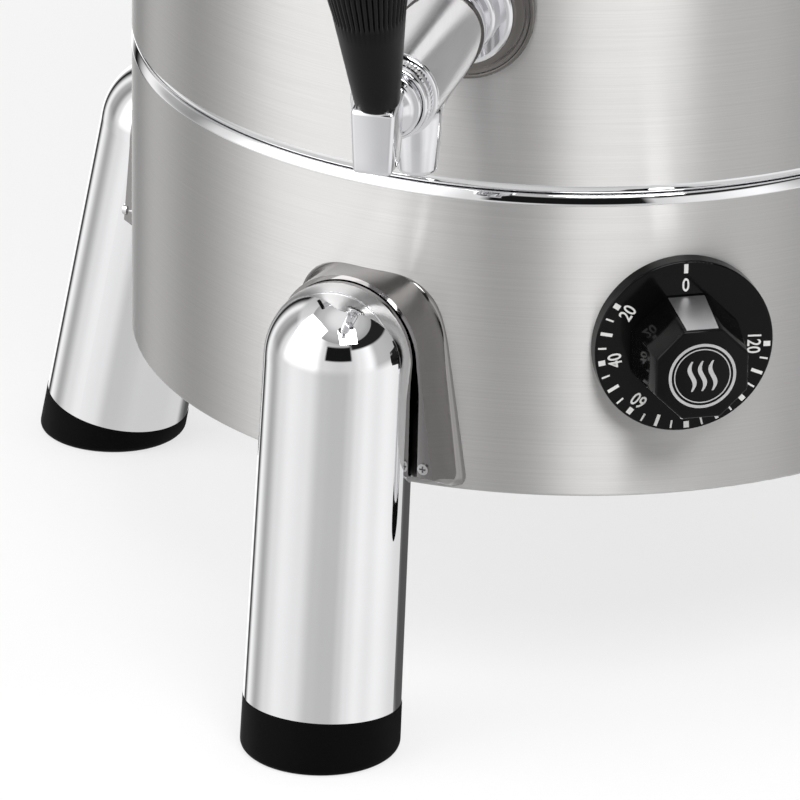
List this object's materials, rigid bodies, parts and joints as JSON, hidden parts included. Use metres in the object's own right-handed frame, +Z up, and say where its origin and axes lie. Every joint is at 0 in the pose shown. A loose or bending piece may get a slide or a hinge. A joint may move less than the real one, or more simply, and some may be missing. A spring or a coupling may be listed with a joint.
{
  "type": "coffee urn",
  "caption": "Stainless coffee urn on splayed polished legs, with a lever tap, a thermostat dial, a lift-off domed lid and side carrying handles.",
  "frame": {"origin": "on the drum axis at floor level, between the feet", "axes": "+Z up along the drum axis, -Y out through the dial, +X to the right of someone facing the dial"},
  "size_m": [0.335, 0.3585, 0.4651],
  "materials": {
    "brushed_steel": "brushed round the drum",
    "polished_steel": "mirror polished",
    "tap_chrome": "chrome plated, mirror polished",
    "foot_rubber": "matt",
    "black_gloss": "gloss with white print",
    "black_matt": "satin",
    "plain_steel": "plain",
    "brass_parts": "turned",
    "aluminium_parts": "as cast",
    "insulating": "felt",
    "pale_plastic": "matt"
  },
  "bodies": {
    "urn": {"base_drum": "brushed_steel", "tank_jacket": "brushed_steel", "leg_front_left": "polished_steel", "leg_front_right": "polished_steel", "leg_rear_right": "polished_steel", "leg_rear_left": "polished_steel", "saddle_front_left": "polished_steel", "saddle_front_right": "polished_steel", "saddle_rear_right": "polished_steel", "saddle_rear_left": "polished_steel", "mouth_ring": "polished_steel", "tap_plate": "tap_chrome", "tap_flange_nut": "tap_chrome", "tap_body": "tap_chrome", "tap_bonnet": "tap_chrome", "handle_posts": "tap_chrome", "foot_front_left": "foot_rubber", "foot_front_right": "foot_rubber", "foot_rear_right": "foot_rubber", "foot_rear_left": "foot_rubber", "tap_gasket": "foot_rubber", "handle_grip_left": "black_matt", "handle_grip_right": "black_matt", "cable_gland": "black_matt", "gland_nut": "black_matt", "inner_tank": "plain_steel", "bottom_cover": "plain_steel", "cover_screws": "plain_steel", "seam_bolts": "plain_steel", "saddle_screws": "plain_steel", "leg_bolts": "plain_steel", "thermostat_nut": "plain_steel", "heater_clamp": "plain_steel", "heater_nut": "plain_steel", "heating_element": "plain_steel", "handle_nuts": "plain_steel", "tap_back_nut": "brass_parts", "tap_spacer": "brass_parts", "thermostat_bulb": "brass_parts", "leg_inserts": "aluminium_parts", "heater_plate": "aluminium_parts", "insulation": "insulating", "thermostat_body": "pale_plastic", "terminal_block": "pale_plastic", "thermal_cutout": "pale_plastic"},
    "dial": {"dial_disc": "black_gloss", "dial_grip": "black_gloss", "thermostat_spindle": "plain_steel"},
    "tap_lever": {"tap_plug": "brass_parts", "lever_block": "tap_chrome", "lever_grip": "black_matt"},
    "lid": {"lid_shell": "brushed_steel", "lid_knob": "black_matt", "lid_screw": "plain_steel"}
  },
  "joints": [
    {"name": "dial_turn", "type": "hinge", "parent": "urn", "child": "dial", "pos_m": [0, -0.125, 0.1172], "axis": [0, 1, 0], "range_deg": [0, 272]},
    {"name": "tap_turn", "type": "hinge", "parent": "urn", "child": "tap_lever", "pos_m": [-0.05868, -0.11037, 0.213], "axis": [0.4695, 0.8829, 0], "range_deg": [0, 90]},
    {"name": "lid_lift", "type": "slide", "parent": "urn", "child": "lid", "axis": [0, 0, 1], "range_m": [0, 0.15]}
  ]
}
